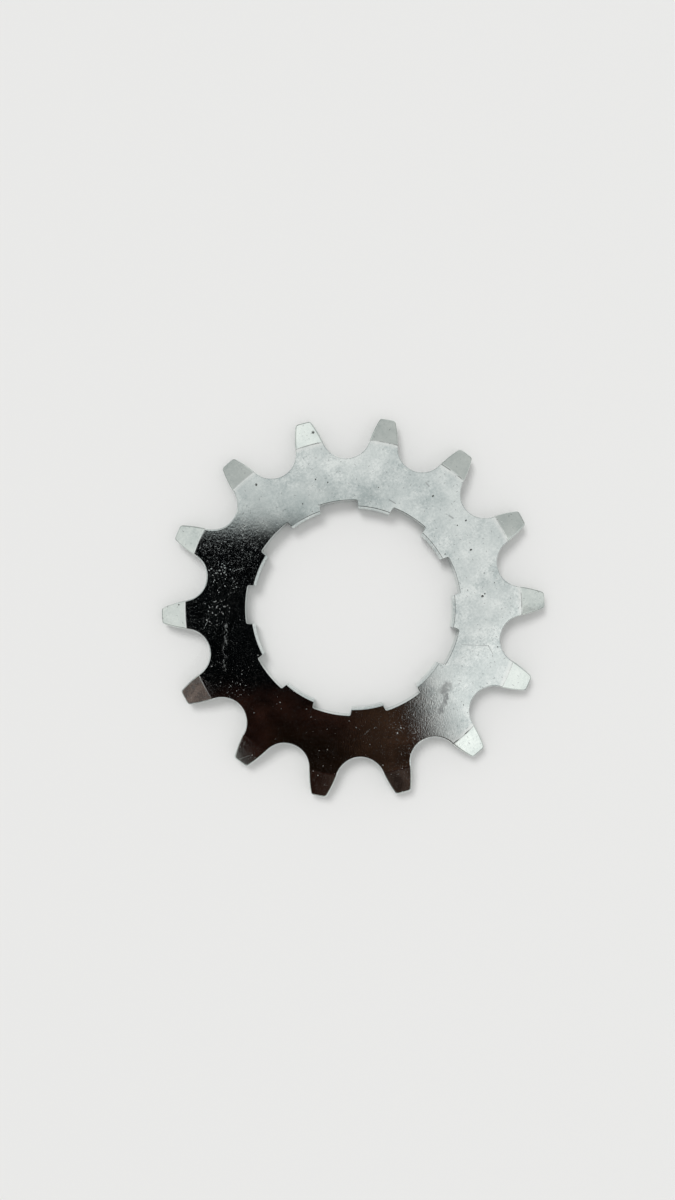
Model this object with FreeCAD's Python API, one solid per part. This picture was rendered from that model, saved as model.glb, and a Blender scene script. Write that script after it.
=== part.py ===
import FreeCAD, Part
import math
import os

# One-piece bicycle cog with a splined bore, for a half-inch roller chain.
# The bore's axis is Z, the back face lies on Z = 0 and the front face looks along +Z.
# A tooth points along +X. The gap on +Y lies over a land of the spline, the one on -Y over a groove.

# Driving dimensions, in millimetres and degrees.

# Teeth and the chain that they carry.
tooth_count = 14
chain_pitch = 12.7
roller_diameter = 7.75
seat_clearance = 0.125      # added to the roller's radius for the round seat between two teeth
flank_lean = 8.5            # between the tooth's own axis and the foot of its flank
flank_radius = 20.0         # the flank bulges outwards on this radius
tip_height = 3.0            # above the pitch circle
tip_corner_radius = 0.6     # at most half the tip's width

# The turned blank, whose two faces slope together over the teeth.
thickness = 3.0
tip_thickness = 1.5
bevel_length = 3.95         # from the tip inwards
bevel_start_radius = 1.5    # rounds the line where the bevel starts
edge_break = 0.15           # flat along the edges of the teeth and of the gaps

# The splined bore: lands with a turned chamfer, and straight grooves between them.
bore_radius = 16.35
bore_chamfer = 0.35
groove_count = 9
groove_depth = 1.3
groove_width = 6.25
groove_corner_radius = 0.25

# Sizes that follow from the driving ones.
tooth_step = 360 / tooth_count
pitch_radius = chain_pitch / 2 / math.sin(math.radians(tooth_step / 2))
seat_radius = roller_diameter / 2 + seat_clearance
root_radius = pitch_radius - seat_radius
tip_radius = pitch_radius + tip_height
blank_radius = tip_radius + tip_corner_radius
bevel_start = tip_radius - bevel_length
bevel_slope = (thickness - tip_thickness) / 2 / bevel_length
groove_radius = bore_radius + groove_depth

CENTRE = FreeCAD.Vector(0, 0, 0)
AXIS = FreeCAD.Vector(0, 0, 1)


def point(x, y, z=0):
    return FreeCAD.Vector(x, y, z)


def direction(degrees):
    """A unit vector in the plane of the cog, at this angle from +X."""
    angle = math.radians(degrees)
    return point(math.cos(angle), math.sin(angle))


def turned(where, degrees):
    """A point of the plane, turned about the bore's axis."""
    along = direction(degrees)
    return point(where.x * along.x - where.y * along.y, where.x * along.y + where.y * along.x)


def mirrored(where):
    """A point of the plane, on the other side of the tooth that points along +X."""
    return point(where.x, -where.y)


def on_circle(centre, radius, towards):
    """The point of a circle that lies towards another point."""
    return centre + (towards - centre).normalize() * radius


def corner_centre(flank_centre, radius):
    """Centre of a circle of this radius that touches a flank and the tip circle from inside."""
    from_axis = tip_radius - radius
    from_flank = flank_radius - radius
    span = flank_centre.Length
    along = (span**2 + from_axis**2 - from_flank**2) / (2 * span)
    aside = math.sqrt(from_axis**2 - along**2)
    ahead = flank_centre / span
    return ahead * along + point(-ahead.y, ahead.x) * aside


def tooth_arcs():
    """Arcs of the tooth along +X and of the gap that follows it, each as start, middle and end."""
    outwards = direction(90 - flank_lean)
    gap_centre = direction(tooth_step / 2) * pitch_radius
    foot = gap_centre - outwards * seat_radius
    flank_centre = foot - outwards * flank_radius
    half_tip_width = corner_centre(flank_centre, 0).y
    corner_radius = min(tip_corner_radius, half_tip_width)
    corner = corner_centre(flank_centre, corner_radius)
    flank_end = flank_centre + (corner - flank_centre).normalize() * flank_radius
    tip_end = direction(math.degrees(math.atan2(corner.y, corner.x))) * tip_radius

    flank = [foot, on_circle(flank_centre, flank_radius, (foot + flank_end) / 2), flank_end]
    rounding = [flank_end, on_circle(corner, corner_radius, (flank_end + tip_end) / 2), tip_end]
    tip = [mirrored(tip_end), point(tip_radius, 0), tip_end]
    seat = [foot, direction(tooth_step / 2) * root_radius, turned(mirrored(foot), tooth_step)]

    near_side = [[mirrored(where) for where in run] for run in (flank, rounding)]
    far_side = [list(reversed(run)) for run in (rounding, flank)]
    return near_side + [tip] + far_side + [seat]


def tooth_outline():
    """The whole toothed outline as one closed wire in the plane Z = 0."""
    edges = []
    for number in range(tooth_count):
        for run in tooth_arcs():
            arc = Part.Arc(*[turned(where, tooth_step * number) for where in run])
            edges.append(arc.toShape())
    return Part.Wire(edges)


def bevel_section(level, inwards):
    """Edges of one face of the blank, from the axis to the rim, with the round where its bevel starts.

    The face lies at this level, and its bevel falls to the middle of the blank: inwards is 1 or -1."""
    tilt = math.atan(bevel_slope)
    tangent = bevel_start_radius * math.tan(tilt / 2)
    half_way = bevel_start_radius * math.sin(tilt / 2)
    half_sink = bevel_start_radius * (1 - math.cos(tilt / 2))
    full_sink = tangent * math.sin(tilt)
    rim_sink = bevel_slope * (blank_radius - bevel_start)

    middle = point(0, 0, level)
    flat_end = point(bevel_start - tangent, 0, level)
    round_middle = point(flat_end.x + half_way, 0, level + inwards * half_sink)
    bevel_begin = point(bevel_start + tangent * math.cos(tilt), 0, level + inwards * full_sink)
    rim = point(blank_radius, 0, level + inwards * rim_sink)
    curves = [
        Part.LineSegment(middle, flat_end),
        Part.Arc(flat_end, round_middle, bevel_begin),
        Part.LineSegment(bevel_begin, rim),
    ]
    return [curve.toShape() for curve in curves], middle, rim


def turned_blank():
    """The disc that the teeth are cut from, bevelled on both faces."""
    back, back_middle, back_rim = bevel_section(0, 1)
    front, front_middle, front_rim = bevel_section(thickness, -1)
    rim = Part.LineSegment(back_rim, front_rim).toShape()
    axis = Part.LineSegment(front_middle, back_middle).toShape()
    section = Part.Wire(back + [rim] + list(reversed(front)) + [axis])
    blank = Part.Face(section).revolve(CENTRE, AXIS, 360)
    # The seam of the turned faces lies in a gap, so no tooth is divided by it.
    blank.rotate(CENTRE, AXIS, tooth_step / 2)
    return blank


def is_upright(face):
    """Whether a face stands square to the two flat faces."""
    u_low, u_high, v_low, v_high = face.ParameterRange
    normal = face.normalAt((u_low + u_high) / 2, (v_low + v_high) / 2)
    return math.isclose(normal.z, 0, abs_tol=1e-6)


def with_broken_edges(solid):
    """The solid with a small flat along each edge between a tooth's wall and a turned face."""
    edges = []
    for edge in solid.Edges:
        walls = [face for face in solid.ancestorsOfType(edge, Part.Face) if is_upright(face)]
        if len(walls) == 1:
            edges.append(edge)
    return solid.makeChamfer(edge_break, edges)


def bore_cutters():
    """The round hole through the lands, and the chamfer at each of its mouths."""
    mouth_radius = bore_radius + bore_chamfer
    hole = Part.makeCylinder(bore_radius, thickness)
    back_mouth = Part.makeCone(mouth_radius, bore_radius, bore_chamfer)
    front_start = point(0, 0, thickness - bore_chamfer)
    front_mouth = Part.makeCone(bore_radius, mouth_radius, bore_chamfer, front_start)
    return [hole, back_mouth, front_mouth]


def groove_cutters():
    """One parallel-sided groove of the spline on -Y, repeated round the bore."""
    bar_corner = point(-groove_width / 2, -groove_radius)
    bar = Part.makeBox(groove_width, groove_radius, thickness, bar_corner)
    groove = bar.common(Part.makeCylinder(groove_radius, thickness))
    corners = []
    for edge in groove.Edges:
        start, end = [vertex.Point for vertex in edge.Vertexes]
        is_along_axis = abs(end.z - start.z) > thickness / 2
        if is_along_axis and math.hypot(start.x, start.y) > bore_radius:
            corners.append(edge)
    groove = groove.makeFillet(groove_corner_radius, corners)
    copies = []
    for number in range(groove_count):
        copy = groove.copy()
        copy.rotate(CENTRE, AXIS, 360 / groove_count * number)
        copies.append(copy)
    return copies


def cog():
    """The finished cog: a bevelled blank cut to the toothed outline, then bored and grooved."""
    toothed = Part.Face(tooth_outline()).extrude(AXIS * thickness)
    body = with_broken_edges(toothed.common(turned_blank()))
    return body.cut(bore_cutters() + groove_cutters())


solid = cog().Solids[0]
os.makedirs("parts", exist_ok=True)
solid.exportStep("parts/cog.step")
print("cog: valid", solid.isValid(), "volume", round(solid.Volume, 2), "faces", len(solid.Faces))
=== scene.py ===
import math

import bpy
import numpy as np
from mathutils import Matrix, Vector
from mathutils.geometry import delaunay_2d_cdt
from mathutils.kdtree import KDTree


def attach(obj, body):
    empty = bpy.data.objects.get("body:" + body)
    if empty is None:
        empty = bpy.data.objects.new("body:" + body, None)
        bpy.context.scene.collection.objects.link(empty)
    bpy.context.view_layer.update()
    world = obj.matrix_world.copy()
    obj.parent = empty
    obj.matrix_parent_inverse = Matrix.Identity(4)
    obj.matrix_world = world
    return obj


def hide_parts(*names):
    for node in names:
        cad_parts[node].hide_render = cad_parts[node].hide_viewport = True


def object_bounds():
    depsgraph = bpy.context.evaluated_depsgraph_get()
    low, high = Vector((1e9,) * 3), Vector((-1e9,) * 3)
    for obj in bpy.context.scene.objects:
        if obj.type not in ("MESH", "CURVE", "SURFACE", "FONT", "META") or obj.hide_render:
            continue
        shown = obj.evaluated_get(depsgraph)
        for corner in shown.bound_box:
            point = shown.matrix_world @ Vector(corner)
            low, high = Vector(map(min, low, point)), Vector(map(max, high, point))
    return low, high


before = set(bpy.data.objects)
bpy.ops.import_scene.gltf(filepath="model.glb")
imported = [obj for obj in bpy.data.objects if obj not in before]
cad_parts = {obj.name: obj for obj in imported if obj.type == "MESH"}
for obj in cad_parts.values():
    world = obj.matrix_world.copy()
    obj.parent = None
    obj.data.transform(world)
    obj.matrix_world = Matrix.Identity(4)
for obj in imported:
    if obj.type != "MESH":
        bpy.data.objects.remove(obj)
cad_low, cad_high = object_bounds()

MM = 0.001                  # lengths below are in millimetres, and the scene is in metres
AXIS = (0, 0)               # the bore's axis, in the plane of the cog

# Sizes of the cog that its solid gives.
thickness = (cad_high.z - cad_low.z) / MM
tip_radius = cad_high.x / MM

# Teeth.
tooth_count = 14
chain_pitch = 12.7
seat_radius = 4.0
flank_lean = math.radians(8.5)
flank_radius = 20.0
tip_corner_radius = 0.6
tip_thickness = 1.5
bevel_length = 3.95
bevel_start_radius = 1.5

# Splined bore.
bore_radius = 16.35
bore_chamfer = 0.35
groove_count = 9
groove_depth = 1.3
groove_width = 6.25
groove_corner_radius = 0.25
land_corner_radius = 0.15

# Rounded edges.
tooth_edge_radius = 0.18
bore_edge_radius = 0.06
edge_steps = 4              # strips across a rounded edge
edge_margin = 0.08          # a last narrow strip keeps the flat beside a rounded edge true

# Steps along each stretch of the two outlines.
flank_steps = 12
tip_corner_steps = 8
tip_steps = 6
seat_steps = 28
land_corner_steps = 4
groove_side_steps = 3
groove_corner_steps = 5
groove_bottom_steps = 24
land_steps = 24

# Rings of points on the faces.
ring_steps = 40 * tooth_count
face_rings = (20, 22)               # radii of those on the flat
bevel_rings = (-2, -1, 0, 1, 2)     # about the start of the bevel, in lengths of its rounding's tangent
ring_reach = 0.25                   # a point this near to such a ring belongs to it, in the same lengths
net_tolerance = 1e-6                # points that are nearer to each other than this become one

# Marks on the front face, placed by how far right of and above the bore's axis the picture shows them.
pits = [                            # right, up, radius
    (-28.6, 0.5, 0.13),
    (-17.8, 13.4, 0.12),
    (-15.9, 20.1, 0.21),
    (-8.3, 17.0, 0.12),
    (-6.6, 28.8, 0.24),
    (-6.2, 21.0, 0.14),
    (-4.2, 20.5, 0.12),
    (4.1, 19.7, 0.11),
    (13.0, 18.3, 0.19),
    (15.0, 8.8, 0.11),
    (17.0, 13.5, 0.12),
    (18.4, 14.3, 0.18),
    (18.7, 2.9, 0.09),
    (19.2, 9.5, 0.22),
    (21.1, 1.9, 0.24),
    (21.4, 5.7, 0.10),
    (21.5, 2.3, 0.14),
    (23.1, 4.1, 0.10),
    (23.6, -6.4, 0.11),
]
pit_points = 10                     # round each pit
pit_rings = (1.4, 1, 0.7, 0.3)      # shares of the pit's radius
pit_depth = 0.08
fleck_patches = [                   # right, up, reach, strength
    (-21.3, 4.8, 4.2, 0.5),
    (-22.4, -0.6, 3.0, 0.5),
    (-19.8, -13.0, 3.4, 0.5),
]
grain_patches = [                   # right, up, reach, strength
    (-20.0, 8.5, 8.5, 1.0),
    (10.8, -17.8, 6.5, 0.55),
    (-2.0, -23.5, 12.0, 0.7),
]
speck_patches = [                   # right, up, reach, strength
    (-20.0, 3.0, 15.0, 0.22),
]
frost_patches = [                   # right, up, reach, strength
    (-19.5, 9.5, 8.5, 0.09),
    (8.0, -21.0, 10.0, 0.06),
    (-8.0, -22.0, 10.0, 0.05),
    (-5.3, -28.7, 4.0, 0.05),
    (7.7, -28.2, 4.0, 0.07),
]
frost_all_over = 0.03               # strength, to which the patches add theirs
stain_patches = [                   # right, up, reach, strength
    (-25.8, -13.8, 4.5, 1.0),
]
patch_core = 0.25                   # a patch has its full strength up to this share of its reach
scuffs = [                          # start, end, width
    [(-20.9, -2.8), (-21.1, -10.0), 0.9],
]
scratch = [(17.7, -6.0), (22.1, -6.2), (22.8, -7.5)]
scratch_width = 0.2
smudges = [                         # start, end, width
    [(15.4, -12.8), (14.8, -13.7), 2.2],
    [(15.2, -14.6), (14.4, -16.8), 1.1],
]
smudge_core = 0.3                   # a smudge has its full strength over this share of its width
nicks = [                           # start, end, width
    [(11.9, 20.5), (12.4, 19.9), 0.4],
    [(15.7, 15.1), (16.3, 14.7), 0.5],
    [(5.9, 17.7), (6.9, 17.1), 0.35],
]
# Painted shade: a dark line along the crease where each bevel starts, its strength tooth by tooth.
crease_shade = [0.3, 0.7, 0.6, 0.5, 0, 0, 0, 0.3, 0.3, 0.3, 0.3, 1.0, 0.2, 0.6]      # tooth by tooth
rub_length = 0.75                   # a brighter strip along the start of each bevel

# Marks that are scattered over the whole plate: distance from one to the next, length, width.
hairline_sizes = (7.0, 4.0, 0.05)
stain_sizes = (1.2, 0.55, 0.2)
fleck_sizes = (0.5, 0.38, 0.21)
speck_sizes = (0.3, 0.3, 0.15)
mark_growth = (0.5, 1.2)            # the smallest and the largest mark, as shares of that size
mark_core = 0.1                     # a mark has its full strength up to this share of that size

# How many of the places for such marks hold one, beside what the patches add.
hairline_share = 0.4
stain_share = 0.45
fleck_share = 0.06                  # times the mottle
speck_share = 0.2                   # times the mottle

# Noises of the plate: size of the blots, detail, roughness.
plain_noises = {
    "haze": (7.0, 5.0, 0.6),
    "mottle": (1.1, 4.0, 0.65),
    "soft_mottle": (2.4, 2.0, 0.45),
    "fine_mottle": (0.36, 2.0, 0.6),
    "grit": (0.24, 2.0, 0.6),
    "ripple": (2.5, 2.0, 0.5),
    "wear_spread": (5.0, 2.0, 0.5),
    # the next one breaks the shade painted along the creases into patches
    "crease_shade_spread": (1.2, 3.0, 0.5),
}
ground_noises = {
    "streaks": (0.32, 2.0, 0.6),
    "grain": (0.2, 2.0, 0.5),
}
rubbing_noise = (1.0, 5.0, 0.7)
rubbing_stretch = (2.2, 1.1)        # along circles about the bore's axis, and across them
grind_stretch = 2.6                 # marks of grinding are this much longer up the picture than across it
waver_size = 0.7                    # the scuff and the smudges have borders that waver
waver_reach = 0.6
noise_mean = (0.5, 0.5, 0.5)        # a noise's three channels lie about this

# Stretches of a noise that are spread out from 0 to 1, or between the two values that follow.
frost_range = (0.54, 0.74)
grit_range = (0.3, 0.7)
scuff_range = (0.42, 0.6)
smudge_range = (0.35, 0.55, 0.4, 1.0)
stain_range = (0.46, 0.56)
# The next one spreads out the patches of shade painted along the creases.
crease_shade_range = (0.4, 0.6, 0.1, 1.0)
wear_range = (0.38, 0.62, 0.45, 1.0)

# How much each of them clouds, dulls or roughens the plate, and raises it in millimetres.
wear_strengths = {
    "mottle": 0.12,
    "soft_mottle": 0.30,
    "rubbing": 0.12,
    "fine_mottle": 0.32,
}
mean_wear = 0.43                    # about the mean of that sum, which is taken off it
bevel_wear_loss = 0.6               # the bevels are clouded less than the flat
haze_in_clouds = 0.3
cloud_base = 0.4                    # the wear and the haze are added to this
dulling_strengths = {
    "smudged": 0.6,
    "scratched": 0.5,
    "stains": 0.7,
    "nicked": 0.6,
    "stained": 0.55,
}
roughness_strengths = {
    "haze": 0.04,
    "fine_grit": 0.06,
    "flecks": 0.4,
    "frosted": 1.0,
    "specks": 0.17,
    "scuffed": 0.26,
    "hairlines": 0.08,
    # the next one roughens the dirt in the pits and the dark line painted along the creases
    "pit_dirt_and_crease_shade": 0.5,
    "dulled": 0.2,
}
height_strengths = {
    "grain": 0.002,
    "coarse_grain": 0.008,
    "ripple": 0.003,
    "flecks": -0.006,
    "specks": -0.002,
    "hairlines": -0.003,
    "scratched": -0.004,
}

# Colours of the plate.
cloud_tones = [                     # place in the clouds, colour
    (0.46, (0.515, 0.575, 0.566, 1)),
    (0.64, (0.83, 0.875, 0.85, 1)),
]
bevel_tint = (1.0, 1.0, 0.975, 1)
rubbed_colour = (0.87, 0.89, 0.86, 1)
dulled_colour = (0.25, 0.26, 0.26, 1)
# near-black of the dirt in the pits and of the shade painted along the creases where the bevels start
pit_dirt_and_crease_shade_colour = (0.03, 0.028, 0.025, 1)

# Camera: the picture's middle lies this far right of and above the bore's axis, on the front face.
part_turn = math.radians(28.1)      # counter-clockwise, as the picture shows the part
picture_offset = (-2.59, 1.29)
picture_height = 196.46             # how much of the front face's plane the picture's long side spans
sensor_long_side = 36.0
lens = 27.0
clip_start = 5.0                    # what is nearer to the camera isn't drawn

# Floor and studio.
floor_reach = 60000                 # from the bore's axis to each side
floor_gap = 0.01                    # below the part
floor_colour = (0.80, 0.80, 0.79)
floor_roughness = 0.6
horizon_level = 0.76                # brightness of the studio
overhead_level = 0.60
overhead_rise = 0.7                 # sine of the angle above the horizon from which on the level is even
glossy_bounces = 12                 # light in a round tooth gap is mirrored many times along its wall

# Lamps: soft boxes that face the part from one height, and a soft sun that mirrors don't show.
softbox_height = 900
softboxes = {                       # right, up, width, depth, radiance
    "overhead": (147, 60, 595, 600, 0.22),
    "overhead_low": (220, -190, 340, 260, 0.14),
    "left": (-560, 90, 400, 450, 0.25),
    "right": (600, 120, 250, 420, 0.24),
    "low_right": (580, -260, 300, 280, 0.50),
    "lower_right": (410, -500, 300, 250, 0.62),
    "top": (-140, 595, 220, 300, 0.48),
}
key_from = (-400, 700, 1200)        # right, up, height
key_strength = 1.25
key_angle = math.radians(25)

# Cards that lie level beside the camera, which only reflections show. Their corners are right and up.
# A card fades out over its border, and its blots are lighter or darker by its contrast.
cards = [
    dict(
        name="mauve_card",
        corners=[(-16, -150), (72, -150), (72, -92), (-16, -92)],
        border=18, above_camera=1, radiance=(0.043, 0.0262, 0.0212), blots=5.0, contrast=0.8,
    ),
    dict(
        name="dark_card",
        corners=[(-62, -30), (18, -30), (18, 18), (-22, 26.5), (-62, 26.5)],
        border=11, above_camera=2, radiance=(0.0006, 0.0009, 0.0011), blots=9.0, contrast=0.4,
    ),
    dict(
        name="amber_card",
        corners=[(6, -62), (24, -62), (21, -30), (4, -30)],
        border=12, above_camera=2.5, radiance=(0.034, 0.0165, 0.0095), blots=4.0, contrast=0.7,
    ),
    dict(
        name="olive_card",
        corners=[(-28, -60), (6, -60), (6, -44), (-24, -38)],
        border=12, above_camera=2.7, radiance=(0.0066, 0.0030, 0.0014), blots=4.0, contrast=0.8,
    ),
    dict(
        name="brown_card",
        corners=[
            (9.5, 0), (-60, 0), (-62, -45), (-92, -95), (-62, -126),
            (-60, -150), (80, -150), (33.5, -43), (28.5, -29),
        ],
        border=20, above_camera=3, radiance=(0.0168, 0.0061, 0.0041), blots=4.0, contrast=0.9,
    ),
    dict(
        name="grey_card",
        corners=[(-140, -95), (-85, -95), (-62, -40), (-140, -40)],
        border=16, above_camera=4, radiance=(0.150, 0.112, 0.102), blots=7.0, contrast=0.9,
    ),
    dict(
        name="veil_card",
        corners=[(-70, 0), (8, 0), (8, 36), (-70, 36)],
        border=22, above_camera=5, radiance=(0.54, 0.56, 0.56), blots=9.0, contrast=0.15,
    ),
]
blot_detail = 5.0
blot_roughness = 0.6
blot_range = (0.3, 0.7)

# Dark cards that stand round the part and show in its edges.
flag_count = 5
flag_distance = 300
flag_width = 170
flag_low = 80
flag_high = 200
flag_look = dict(border=60, radiance=(0.02, 0.02, 0.02), blots=9.0, contrast=0.7)

# Sizes that follow from the ones above.
tooth_step = 2 * math.pi / tooth_count
groove_step = 2 * math.pi / groove_count
pitch_radius = chain_pitch / 2 / math.sin(tooth_step / 2)
bevel_start = tip_radius - bevel_length
bevel_tilt = math.atan((thickness - tip_thickness) / 2 / bevel_length)
bevel_tangent = bevel_start_radius * math.tan(bevel_tilt / 2)
groove_radius = bore_radius + groove_depth
mouth_radius = bore_radius + bore_chamfer
camera_height = picture_height * lens / sensor_long_side


def turned(points, angle):
    """Points or directions of the plane, turned about the bore's axis."""
    axes = np.array([[math.cos(angle), math.sin(angle)], [-math.sin(angle), math.cos(angle)]])
    return points @ axes


def on_part(right, up):
    """A place of the picture, in the part's own axes."""
    return turned(np.array([right, up], float), -part_turn)


def in_picture(right, up, height):
    """A place right of, above and in front of the middle of the front face, in the scene's metres."""
    flat = on_part(right, up)
    return Vector((flat[0] * MM, flat[1] * MM, (thickness + height) * MM))


def circle(radius, centre=AXIS, count=ring_steps):
    """Points round a circle."""
    angles = np.linspace(0, 2 * math.pi, count, endpoint=False)
    return np.array(centre) + np.stack([np.cos(angles), np.sin(angles)], axis=1) * radius


def arc(centre, radius, start, end, steps, metal_inside):
    """Points along an arc without its last one, and at each of them the direction into the metal."""
    angles = np.linspace(start, end, steps, endpoint=False)
    away = np.stack([np.cos(angles), np.sin(angles)], axis=1)
    return np.array(centre) + away * radius, -away if metal_inside else away


def groove_side(start_x, end_x, y):
    """Points along a straight side of a groove without the last one, and the directions into the metal."""
    places = np.linspace(start_x, end_x, groove_side_steps, endpoint=False)
    into = np.array([[0, math.copysign(1, y)]] * len(places))
    return np.stack([places, np.full(len(places), y)], axis=1), into


def joined(runs):
    """Several runs of an outline as one."""
    return np.concatenate([run[0] for run in runs]), np.concatenate([run[1] for run in runs])


def repeated(run, count, first_angle):
    """One run of an outline, repeated round the bore's axis to close it."""
    angles = [first_angle + 2 * math.pi / count * number for number in range(count)]
    return joined([(turned(run[0], angle), turned(run[1], angle)) for angle in angles])


def tip_corner(flank_centre):
    """Centre of the tip's corner, which touches the tip circle and the flank's circle from inside."""
    from_axis = tip_radius - tip_corner_radius
    from_flank = flank_radius - tip_corner_radius
    span = math.hypot(*flank_centre)
    along = (span**2 + from_axis**2 - from_flank**2) / (2 * span)
    aside = math.sqrt(from_axis**2 - along**2)
    ahead = flank_centre / span
    return ahead * along + np.array([-ahead[1], ahead[0]]) * aside


def tooth_outline():
    """The toothed outline, from the tooth that points along +X."""
    foot_angle = math.pi / 2 - flank_lean
    outwards = np.array([math.cos(foot_angle), math.sin(foot_angle)])
    gap = turned(np.array([pitch_radius, 0.0]), tooth_step / 2)
    flank = gap - outwards * (seat_radius + flank_radius)
    corner = tip_corner(flank)
    flank_end = math.atan2(corner[1] - flank[1], corner[0] - flank[0])
    tip_end = math.atan2(corner[1], corner[0])
    seat_start = foot_angle + math.pi
    seat_end = tooth_step + math.pi - foot_angle

    mirror = np.array([1, -1])
    run = joined([
        arc(flank * mirror, flank_radius, -foot_angle, -flank_end, flank_steps, True),
        arc(corner * mirror, tip_corner_radius, -flank_end, -tip_end, tip_corner_steps, True),
        arc(AXIS, tip_radius, -tip_end, tip_end, tip_steps, True),
        arc(corner, tip_corner_radius, tip_end, flank_end, tip_corner_steps, True),
        arc(flank, flank_radius, flank_end, foot_angle, flank_steps, True),
        arc(gap, seat_radius, seat_start, seat_end, seat_steps, False),
    ])
    return repeated(run, tooth_count, 0)


def bore_outline():
    """The outline of the splined bore, from the groove on -Y. A groove is drawn along +X and then turned."""
    half = groove_width / 2
    inner = half - groove_corner_radius
    outer = half + land_corner_radius
    inner_x = math.sqrt((groove_radius - groove_corner_radius)**2 - inner**2)
    outer_x = math.sqrt((bore_radius + land_corner_radius)**2 - outer**2)
    bottom_end = math.atan2(inner, inner_x)
    land_start = math.atan2(outer, outer_x)
    land_end = groove_step - land_start
    quarter = math.pi / 2

    run = joined([
        arc((outer_x, -outer), land_corner_radius, math.pi - land_start, quarter, land_corner_steps, True),
        groove_side(outer_x, inner_x, -half),
        arc((inner_x, -inner), groove_corner_radius, -quarter, -bottom_end, groove_corner_steps, False),
        arc(AXIS, groove_radius, -bottom_end, bottom_end, groove_bottom_steps, False),
        arc((inner_x, inner), groove_corner_radius, bottom_end, quarter, groove_corner_steps, False),
        groove_side(inner_x, outer_x, half),
        arc((outer_x, outer), land_corner_radius, -quarter, land_start - math.pi, land_corner_steps, True),
        arc(AXIS, bore_radius, land_start, land_end, land_steps, False),
    ])
    return repeated(run, groove_count, -quarter)


def edge_distances(radius):
    """How far into the metal the loops along a rounded edge lie."""
    angles = np.linspace(0, math.pi / 2, edge_steps + 1)
    return [*(radius * (1 - np.cos(angles))), radius + edge_margin]


def net_loops(teeth, bore, pit_places):
    """Closed lines of points that the faces are spanned over: along edges, in rings, and round pits."""
    loops = [teeth[0] + teeth[1] * depth for depth in edge_distances(tooth_edge_radius)]
    loops += [bore[0] + bore[1] * depth for depth in edge_distances(bore_edge_radius)]
    loops += [circle(mouth_radius + shift) for shift in (-bore_edge_radius, 0, bore_edge_radius)]
    loops += [circle(radius) for radius in face_rings]
    loops += [circle(bevel_start + bevel_tangent * ring) for ring in bevel_rings]
    loops += [circle(bevel_start - rub_length)]
    for centre, radius in pit_places:
        loops += [circle(radius * share, centre, pit_points) for share in pit_rings]
    return loops


def closed_links(loops):
    """The sides of closed loops, as pairs of points that are numbered from loop to loop."""
    links = []
    for loop in loops:
        first = len(links)
        last = first + len(loop) - 1
        links += [(number, number + 1) for number in range(first, last)] + [(last, first)]
    return links


def metal_net(loops, metal_depth):
    """Points and triangles of a net over these loops, where it lies in the metal."""
    places = [Vector(place) for place in np.concatenate(loops)]
    net = delaunay_2d_cdt(places, closed_links(loops), [], 0, net_tolerance)
    spots, triangles = net[0], net[2]

    def in_metal(triangle):
        middle = sum((spots[number] for number in triangle), Vector((0, 0))) / 3
        return metal_depth(middle) > 0

    kept = [triangle for triangle in triangles if in_metal(triangle)]
    used = sorted({number for triangle in kept for number in triangle})
    renumbered = {number: place for place, number in enumerate(used)}
    faces = [[renumbered[number] for number in triangle] for triangle in kept]
    return [spots[number] for number in used], faces


def edge_lookup(outline):
    """A function that says how far into the metal a point lies, from the nearest point of an outline."""
    places, into = outline
    tree = KDTree(len(places))
    for number, place in enumerate(places):
        tree.insert((*place, 0), number)
    tree.balance()

    def depth(where):
        nearest = tree.find((where[0], where[1], 0))[1]
        return float(np.dot(np.array(where) - places[nearest], into[nearest]))

    return depth


def round_sink(depth, radius):
    """How far a rounded edge lies below the face that it ends."""
    run = min(max(radius - depth, 0), radius)
    return radius - math.sqrt(radius**2 - run**2)


def bevel_sink(from_axis):
    """How far the bevelled face lies below the flat one."""
    past_start = from_axis - (bevel_start - bevel_tangent)
    if past_start <= 0:
        return 0
    if past_start < bevel_start_radius * math.sin(bevel_tilt):
        return bevel_start_radius - math.sqrt(bevel_start_radius**2 - past_start**2)
    return (from_axis - bevel_start) * math.tan(bevel_tilt)


def face_sink(spot, tooth_depth, bore_depth):
    """How far a face lies below its flat, for its bevel, the bore's chamfer and the rounded edges."""
    sink = bevel_sink(spot.length) + max(0, mouth_radius - spot.length)
    sink += round_sink(tooth_depth, tooth_edge_radius)
    sink += round_sink(bore_depth, bore_edge_radius)
    return sink


def pit_share(spot, pit_places):
    """How deep inside a pit a point lies: 0 at its rim and 1 at its middle."""
    shares = [1 - math.dist(spot, centre) / radius for centre, radius in pit_places]
    return max(0, *shares)


def past_bevel_start(spot):
    """How far outside the start of the bevel a point lies, in lengths of its rounding's tangent."""
    return (spot.length - bevel_start) / bevel_tangent


def crease_share(spot):
    """How strong the shade painted along the start of a tooth's bevel is at a point."""
    tooth = round(math.atan2(spot.y, spot.x) / tooth_step) % tooth_count
    return crease_shade[tooth] if abs(past_bevel_start(spot)) < ring_reach else 0


def is_rubbed(spot):
    """Whether a point lies in the middle of the brighter strip along the start of a bevel."""
    return bevel_rings[0] - ring_reach < past_bevel_start(spot) < ring_reach


def rim_sides(faces):
    """The sides that belong to one triangle only, as pairs of points."""
    sides = {(face[i], face[(i + 1) % 3]) for face in faces for i in range(3)}
    return [(a, b) for a, b in sides if (b, a) not in sides]


def wall_strips(front, back, rim):
    """Points and faces of the walls, with narrow strips along top and bottom that keep the rest true."""
    count = len(front)
    upper = {a: 2 * count + place for place, (a, b) in enumerate(rim)}
    lower = {a: number + len(rim) for a, number in upper.items()}
    points = [(x, y, z - edge_margin * MM) for x, y, z in (front[a] for a, b in rim)]
    points += [(x, y, z + edge_margin * MM) for x, y, z in (back[a] for a, b in rim)]
    walls = []
    for a, b in rim:
        walls += [(b, a, upper[a], upper[b]), (upper[b], upper[a], lower[a], lower[b])]
        walls += [(lower[b], lower[a], a + count, b + count)]
    return points, walls


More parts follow.
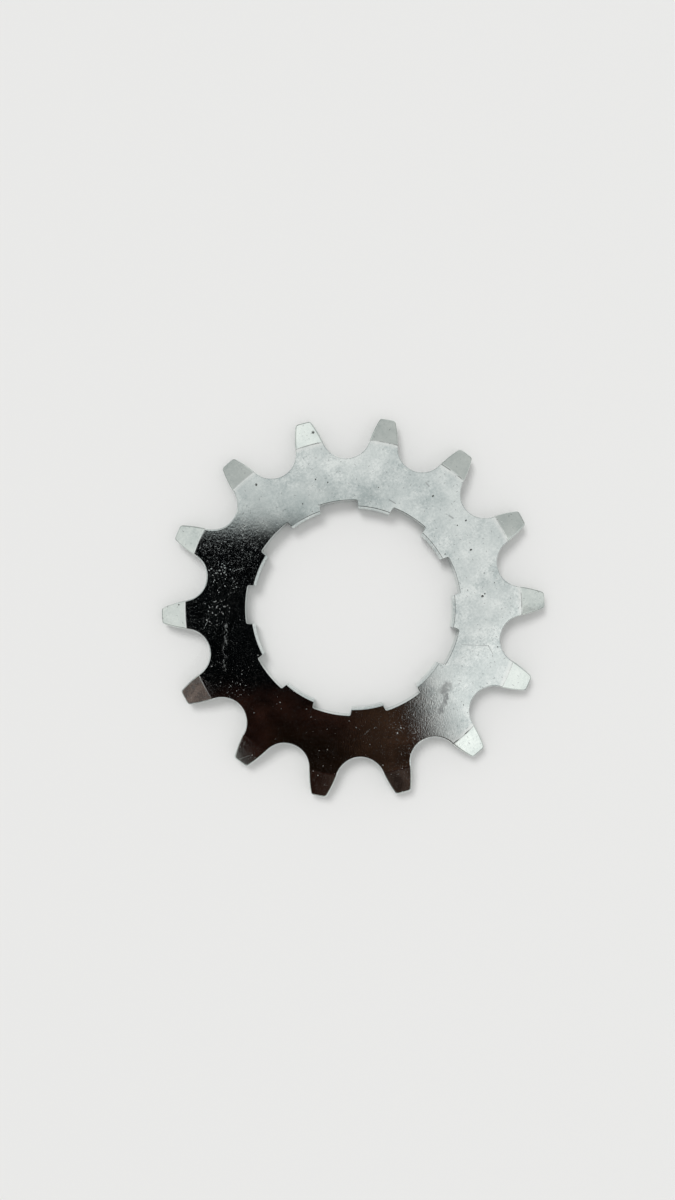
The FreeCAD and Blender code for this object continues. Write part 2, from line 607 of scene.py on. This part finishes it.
def set_attribute(mesh, name, values):
    """Gives these values to the first points of a mesh, and 0 to the rest of them."""
    filled = [float(value) for value in values] + [0.0] * (len(mesh.vertices) - len(values))
    mesh.attributes.new(name, "FLOAT", "POINT").data.foreach_set("value", filled)


def cog_mesh():
    """The cog's two faces as a fine net over its outline, joined by the walls of the teeth and the bore."""
    teeth = tooth_outline()
    bore = bore_outline()
    tooth_depth = edge_lookup(teeth)
    bore_depth = edge_lookup(bore)
    pit_places = [(on_part(right, up), radius) for right, up, radius in pits]

    def metal_depth(where):
        return min(tooth_depth(where), bore_depth(where))

    spots, faces = metal_net(net_loops(teeth, bore, pit_places), metal_depth)
    sinks = [face_sink(spot, tooth_depth(spot), bore_depth(spot)) for spot in spots]
    pit_shares = [pit_share(spot, pit_places) for spot in spots]
    levels = [thickness - sink - share * pit_depth for sink, share in zip(sinks, pit_shares)]
    front = [(spot.x * MM, spot.y * MM, level * MM) for spot, level in zip(spots, levels)]
    back = [(spot.x * MM, spot.y * MM, sink * MM) for spot, sink in zip(spots, sinks)]
    under = [[number + len(front) for number in reversed(face)] for face in faces]
    strips, walls = wall_strips(front, back, rim_sides(faces))

    mesh = bpy.data.meshes.new("plated_cog")
    mesh.from_pydata(front + back + strips, [], faces + under + walls)
    mesh.polygons.foreach_set("use_smooth", [True] * len(mesh.polygons))
    set_attribute(mesh, "pit", [math.sqrt(share) for share in pit_shares])
    set_attribute(mesh, "crease", [crease_share(spot) for spot in spots] * 2)
    set_attribute(mesh, "rubbed", [is_rubbed(spot) for spot in spots] * 2)
    mesh.update()
    return mesh


def output(tree, kind, inputs, name=0, **settings):
    """Adds a node, sets or links its inputs, and returns the output of this name or number."""
    node = tree.nodes.new(kind)
    for setting, value in settings.items():
        setattr(node, setting, value)
    for key, value in inputs.items():
        if isinstance(value, bpy.types.NodeSocket):
            tree.links.new(value, node.inputs[key])
        else:
            node.inputs[key].default_value = value
    return node.outputs[name]


def calculated(tree, operation, first, second):
    """One number worked out from two."""
    return output(tree, "ShaderNodeMath", {0: first, 1: second}, operation=operation)


def vector(tree, operation, *parts):
    """One vector worked out from others."""
    return output(tree, "ShaderNodeVectorMath", dict(enumerate(parts)), "Vector", operation=operation)


def measured(tree, operation, *parts):
    """One number worked out from vectors."""
    return output(tree, "ShaderNodeVectorMath", dict(enumerate(parts)), "Value", operation=operation)


def scaled(tree, part, factor):
    """A vector times a number."""
    return output(tree, "ShaderNodeVectorMath", {0: part, "Scale": factor}, operation="SCALE")


def rotated(tree, part, angle):
    """A vector turned about Z."""
    return output(tree, "ShaderNodeVectorRotate", {"Vector": part, "Angle": angle}, rotation_type="Z_AXIS")


def between(tree, value, low, high, to_low=0.0, to_high=1.0):
    """The value's way from low to high, smoothed at both ends."""
    inputs = {"Value": value, "From Min": low, "From Max": high, "To Min": to_low, "To Max": to_high}
    return output(tree, "ShaderNodeMapRange", inputs, interpolation_type="SMOOTHSTEP")


def total(tree, parts):
    """The sum of sockets, each times its own factor."""
    whole = 0.0
    for part, factor in parts:
        whole = output(tree, "ShaderNodeMath", {0: part, 1: factor, 2: whole}, operation="MULTIPLY_ADD")
    return whole


def summed(tree, fields, strengths):
    """The sum of the fields that strengths names, each times its strength."""
    return total(tree, [(fields[name], strength) for name, strength in strengths.items()])


def blended(tree, share, first, second, way="MIX"):
    """A share of the second colour over the first one."""
    # The node numbers its sockets for colours like this, and their names are shared with other kinds.
    inputs = {0: share, 6: first, 7: second}
    return output(tree, "ShaderNodeMix", inputs, 2, data_type="RGBA", blend_type=way)


def toned(tree, value, tones):
    """A colour that goes from one tone to the next as the value passes their places."""
    node = tree.nodes.new("ShaderNodeValToRGB")
    for element, (place, colour) in zip(node.color_ramp.elements, tones):
        element.position = place
        element.color = colour
    tree.links.new(value, node.inputs[0])
    return node.outputs[0]


def attribute(tree, name):
    """A mesh attribute of this name."""
    return output(tree, "ShaderNodeAttribute", {}, "Fac", attribute_name=name)


def surface_place(tree):
    """The place on the object, in millimetres."""
    return scaled(tree, output(tree, "ShaderNodeTexCoord", {}, "Object"), 1 / MM)


def flattened(tree, place):
    """A place without its height."""
    return vector(tree, "MULTIPLY", place, (1, 1, 0))


def noise(tree, place, size, detail, roughness):
    """Noise whose blots are about this size in millimetres."""
    inputs = {"Vector": place, "Scale": 1 / size, "Detail": detail, "Roughness": roughness}
    return output(tree, "ShaderNodeTexNoise", inputs)


def round_axis(tree, place, along, across):
    """Noise coordinates that are drawn out along circles about the bore's axis, without a seam."""
    flat = flattened(tree, place)
    radius = measured(tree, "LENGTH", flat)
    turn = scaled(tree, vector(tree, "NORMALIZE", flat), groove_radius / along)
    step = output(tree, "ShaderNodeCombineXYZ", {"Z": calculated(tree, "DIVIDE", radius, across)})
    return vector(tree, "ADD", turn, step)


def ground(tree, place):
    """Noise coordinates that are drawn out the way the plate was ground, up and down the picture."""
    return vector(tree, "MULTIPLY", rotated(tree, place, part_turn), (1, 1 / grind_stretch, 1))


def wavered(tree, place):
    """The same places, moved aside unevenly."""
    shift = output(tree, "ShaderNodeTexNoise", {"Vector": place, "Scale": 1 / waver_size}, "Color")
    aside = vector(tree, "SUBTRACT", shift, noise_mean)
    return vector(tree, "MULTIPLY_ADD", aside, (2 * waver_reach, 2 * waver_reach, 0), place)


def marks(tree, place, sizes, share):
    """Scattered marks at random angles, in this share of the cells of a loose grid."""
    spacing, length, width = sizes
    cells = output(tree, "ShaderNodeTexVoronoi", {"Vector": place, "Scale": 1 / spacing}).node
    chance = output(tree, "ShaderNodeSeparateColor", {0: cells.outputs["Color"]}).node
    away = vector(tree, "SUBTRACT", place, cells.outputs["Position"])
    along = rotated(tree, away, calculated(tree, "MULTIPLY", chance.outputs[0], math.pi))
    reach = measured(tree, "LENGTH", vector(tree, "MULTIPLY", along, (2 / length, 2 / width, 1 / spacing)))
    size = between(tree, chance.outputs[2], 0.0, 1.0, *mark_growth)
    chosen = calculated(tree, "LESS_THAN", chance.outputs[1], share)
    return calculated(tree, "MULTIPLY", between(tree, reach, size, mark_core), chosen)


def stroke(tree, place, ends, width, core):
    """A soft straight line on the front face, between two places of the picture."""
    start, end = [np.array([*on_part(*spot), thickness]) for spot in ends]
    ahead = end - start
    away = vector(tree, "SUBTRACT", place, start)
    share = measured(tree, "DOT_PRODUCT", away, ahead / np.dot(ahead, ahead))
    foot = scaled(tree, ahead, output(tree, "ShaderNodeClamp", {"Value": share}))
    gap = measured(tree, "DISTANCE", away, foot)
    return between(tree, gap, width / 2, width / 2 * core)


def strokes(tree, place, lines, core=0.0):
    """Soft lines on the front face, each given by its two ends and its width."""
    return total(tree, [(stroke(tree, place, ends, width, core), 1.0) for *ends, width in lines])


def patch(tree, place, right, up, reach):
    """A round patch of the front face that fades out at this reach, about a place of the picture."""
    gap = measured(tree, "DISTANCE", place, (*on_part(right, up), thickness))
    return between(tree, gap, reach, reach * patch_core)


def patches(tree, place, areas):
    """Round patches of the front face, each with its own strength."""
    return total(tree, [(patch(tree, place, *area), strength) for *area, strength in areas])


def plate_noises(tree, place):
    """The unevenness of the whole plate, by name."""
    fields = {name: noise(tree, place, *values) for name, values in plain_noises.items()}
    along_grind = ground(tree, place)
    for name, values in ground_noises.items():
        fields[name] = noise(tree, along_grind, *values)
    fields["rubbing"] = noise(tree, round_axis(tree, place, *rubbing_stretch), *rubbing_noise)
    fields["fine_grit"] = between(tree, fields["grit"], *grit_range)
    coarseness = patches(tree, place, grain_patches)
    fields["coarse_grain"] = calculated(tree, "MULTIPLY", fields["grain"], coarseness)
    return fields


def scattered_marks(tree, place, fields):
    """Hairlines, stains, flecks, specks and frost at random places, more of them in some patches."""
    mottle = fields["mottle"]
    flecked = total(tree, [(patches(tree, place, fleck_patches), 1.0), (mottle, fleck_share)])
    specked = total(tree, [(patches(tree, place, speck_patches), 1.0), (mottle, speck_share)])
    frosty = total(tree, [(patches(tree, place, frost_patches), 1.0), (1.0, frost_all_over)])
    frost = between(tree, fields["grit"], *frost_range)
    return {
        "hairlines": marks(tree, place, hairline_sizes, hairline_share),
        "stains": marks(tree, place, stain_sizes, stain_share),
        "flecks": marks(tree, place, fleck_sizes, flecked),
        "specks": marks(tree, place, speck_sizes, specked),
        "frosted": calculated(tree, "MULTIPLY", frost, frosty),
    }


def placed_marks(tree, place, fields):
    """The scuff, the scratch, the nicks, the smudges and the stained tooth, where the picture shows them."""
    uneven = wavered(tree, place)
    scratch_runs = [(start, end, scratch_width) for start, end in zip(scratch, scratch[1:])]
    worn_through = between(tree, fields["streaks"], *scuff_range)
    smudge_left = between(tree, fields["mottle"], *smudge_range)
    stain_left = between(tree, fields["mottle"], *stain_range)
    return {
        "scuffed": calculated(tree, "MULTIPLY", strokes(tree, uneven, scuffs), worn_through),
        "scratched": strokes(tree, place, scratch_runs),
        "nicked": strokes(tree, place, nicks),
        "smudged": calculated(tree, "MULTIPLY", strokes(tree, uneven, smudges, smudge_core), smudge_left),
        "stained": calculated(tree, "MULTIPLY", patches(tree, place, stain_patches), stain_left),
    }


def pit_dirt_and_painted_crease_shade(tree, fields):
    """Dirt in the pits, and painted shade here and there along the start of the bevels."""
    left = between(tree, fields["crease_shade_spread"], *crease_shade_range)
    in_creases = calculated(tree, "MULTIPLY", attribute(tree, "crease"), left)
    return calculated(tree, "MAXIMUM", attribute(tree, "pit"), in_creases)


def plate_colour(tree, place, fields):
    """Bright plate with clouds of wear, rubbed where the bevels start, dark in its marks and pits' dirt, and
    with painted shade along the start of the bevels.
    """
    radius = measured(tree, "LENGTH", flattened(tree, place))
    on_bevel = between(tree, radius, bevel_start - bevel_tangent, bevel_start + bevel_tangent)
    kept_wear = total(tree, [(on_bevel, -bevel_wear_loss), (1.0, 1.0)])
    wear_here = between(tree, fields["wear_spread"], *wear_range)
    uneven_wear = calculated(tree, "SUBTRACT", summed(tree, fields, wear_strengths), mean_wear)
    wear = calculated(tree, "MULTIPLY", calculated(tree, "MULTIPLY", uneven_wear, wear_here), kept_wear)
    clouds = total(tree, [(wear, 1.0), (fields["haze"], haze_in_clouds), (1.0, cloud_base)])
    tinted = blended(tree, on_bevel, toned(tree, clouds, cloud_tones), bevel_tint, "MULTIPLY")
    rubbed = calculated(tree, "MULTIPLY", attribute(tree, "rubbed"), fields["mottle"])
    bright = blended(tree, rubbed, tinted, rubbed_colour)
    dull = blended(tree, fields["dulled"], bright, dulled_colour)
    # dark in the dirt of the pits and in the shade painted along the creases where the bevels start
    return blended(tree, fields["pit_dirt_and_crease_shade"], dull, pit_dirt_and_crease_shade_colour)


def plated_steel():
    """Bright plate: a mirror with clouds of wear, fine grain, many small marks, dirt in its pits and painted
    shade along the start of its bevels.
    """
    material = bpy.data.materials.new("plated_steel")
    material.use_nodes = True
    tree = material.node_tree
    shader = tree.nodes["Principled BSDF"]
    place = surface_place(tree)
    fields = plate_noises(tree, place)
    fields.update(scattered_marks(tree, place, fields))
    fields.update(placed_marks(tree, place, fields))
    # dirt in the pits, and painted shade along the creases where the bevels start
    fields["pit_dirt_and_crease_shade"] = pit_dirt_and_painted_crease_shade(tree, fields)
    fields["dulled"] = summed(tree, fields, dulling_strengths)

    height = summed(tree, fields, height_strengths)
    bump = output(tree, "ShaderNodeBump", {"Height": height, "Distance": MM})
    tree.links.new(plate_colour(tree, place, fields), shader.inputs["Base Color"])
    tree.links.new(summed(tree, fields, roughness_strengths), shader.inputs["Roughness"])
    tree.links.new(bump, shader.inputs["Normal"])
    shader.inputs["Metallic"].default_value = 1
    return material


def floor_material():
    """A matt pale floor."""
    material = bpy.data.materials.new("floor")
    material.use_nodes = True
    shader = material.node_tree.nodes["Principled BSDF"]
    shader.inputs["Base Color"].default_value = (*floor_colour, 1)
    shader.inputs["Roughness"].default_value = floor_roughness
    shader.inputs["Specular IOR Level"].default_value = 0
    return material


def card_material(name, radiance, blots, contrast):
    """A card that is seen in full where its cover is 1, and not at all where it is 0."""
    material = bpy.data.materials.new(name)
    material.use_nodes = True
    tree = material.node_tree
    unevenness = noise(tree, surface_place(tree), blots, blot_detail, blot_roughness)
    level = between(tree, unevenness, *blot_range, 1 - contrast, 1 + contrast)
    clear = output(tree, "ShaderNodeBsdfTransparent", {})
    glow = output(tree, "ShaderNodeEmission", {"Color": (*radiance, 1), "Strength": level})
    cover = between(tree, attribute(tree, "cover"), 0.0, 1.0)
    mixed = output(tree, "ShaderNodeMixShader", {0: cover, 1: clear, 2: glow})
    tree.links.new(mixed, tree.nodes["Material Output"].inputs["Surface"])
    return material


def add_to_scene(name, data):
    """A new object in the scene."""
    thing = bpy.data.objects.new(name, data)
    bpy.context.scene.collection.objects.link(thing)
    return thing


def add_stage(name, places, faces, material):
    """A piece of the stage, which is no part of the object."""
    mesh = bpy.data.meshes.new(name)
    mesh.from_pydata(places, [], faces)
    mesh.materials.append(material)
    piece = add_to_scene(name, mesh)
    return piece


def add_floor():
    """A wide level floor, just below the part."""
    reach = floor_reach * MM
    level = -floor_gap * MM
    corners = [(x, y, level) for x, y in ((-reach, -reach), (reach, -reach), (reach, reach), (-reach, reach))]
    add_stage("floor", corners, [range(4)], floor_material())


def add_camera():
    """The picture's camera, which looks straight down."""
    data = bpy.data.cameras.new("camera")
    data.sensor_width = sensor_long_side
    data.lens = lens
    data.clip_start = clip_start * MM
    camera = add_to_scene("camera", data)
    camera.location = in_picture(*picture_offset, camera_height)
    camera.rotation_euler = (0, 0, -part_turn)
    bpy.context.scene.camera = camera


def add_world():
    """A plain studio, a little paler towards the horizon."""
    world = bpy.data.worlds.new("studio")
    world.use_nodes = True
    tree = world.node_tree
    heading = output(tree, "ShaderNodeTexCoord", {}, "Generated")
    rise = output(tree, "ShaderNodeSeparateXYZ", {0: heading}, "Z")
    level = between(tree, rise, 0.0, overhead_rise, horizon_level, overhead_level)
    tree.links.new(level, tree.nodes["Background"].inputs["Color"])
    bpy.context.scene.world = world


def add_softbox(name, right, up, width, depth, radiance):
    """A rectangular lamp that faces the part."""
    data = bpy.data.lights.new(name, "AREA")
    data.shape = "RECTANGLE"
    data.size = width * MM
    data.size_y = depth * MM
    data.energy = radiance * math.pi * width * MM * depth * MM
    lamp = add_to_scene(name, data)
    lamp.location = in_picture(right, up, softbox_height)
    lamp.rotation_euler = lamp.location.to_track_quat("Z", "Y").to_euler()


def add_key():
    """A soft sun, for the part's shadow on the floor."""
    data = bpy.data.lights.new("key", "SUN")
    data.energy = key_strength
    data.angle = key_angle
    key = add_to_scene("key", data)
    key.rotation_euler = in_picture(*key_from).to_track_quat("Z", "Y").to_euler()
    key.visible_glossy = False


def moved_out(corners, distance):
    """The corners of a counter-clockwise outline whose sides have been moved out by this distance."""
    places = np.array(corners, float)
    ahead = np.roll(places, -1, axis=0) - places
    ahead /= np.linalg.norm(ahead, axis=1, keepdims=True)
    after = np.stack([ahead[:, 1], -ahead[:, 0]], axis=1)
    before = np.roll(after, 1, axis=0)
    return places + (after + before) * distance / (1 + (after * before).sum(axis=1, keepdims=True))


def add_card(name, corners, place, border, radiance, blots, contrast):
    """A card with a soft border that only reflections show.

    The function place turns its corners into places of the scene."""
    count = len(corners)
    rings = np.concatenate([moved_out(corners, -border / 2), moved_out(corners, border / 2)])
    places = [place(*corner) for corner in rings]
    sides = [(n, n + count, (n + 1) % count + count, (n + 1) % count) for n in range(count)]
    card = add_stage(name, places, [range(count)] + sides, card_material(name, radiance, blots, contrast))
    set_attribute(card.data, "cover", [1.0] * count)
    card.visible_camera = False
    card.visible_diffuse = False
    card.visible_shadow = False


def add_level_card(name, corners, above_camera, **look):
    """A card that lies level beside the camera."""
    def place(right, up):
        return in_picture(right, up, camera_height + above_camera)

    add_card(name, corners, place, **look)


def add_flag(number):
    """One of the dark cards that stand round the part."""
    def place(along, level):
        right, up = turned(np.array([-flag_distance, along]), 2 * math.pi / flag_count * number)
        return in_picture(right, up, level)

    half = flag_width / 2
    corners = [(-half, flag_low), (half, flag_low), (half, flag_high), (-half, flag_high)]
    add_card("flag_%d" % (number + 1), corners, place, **flag_look)


cog = add_to_scene("plated_cog", cog_mesh())
cog.data.materials.append(plated_steel())
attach(cog, "root")
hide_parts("cog")

add_floor()
add_camera()
add_world()
for name, values in softboxes.items():
    add_softbox(name, *values)
add_key()
for card in cards:
    add_level_card(**card)
for number in range(flag_count):
    add_flag(number)
bpy.context.scene.view_settings.view_transform = "Standard"
bpy.context.scene.cycles.glossy_bounces = glossy_bounces
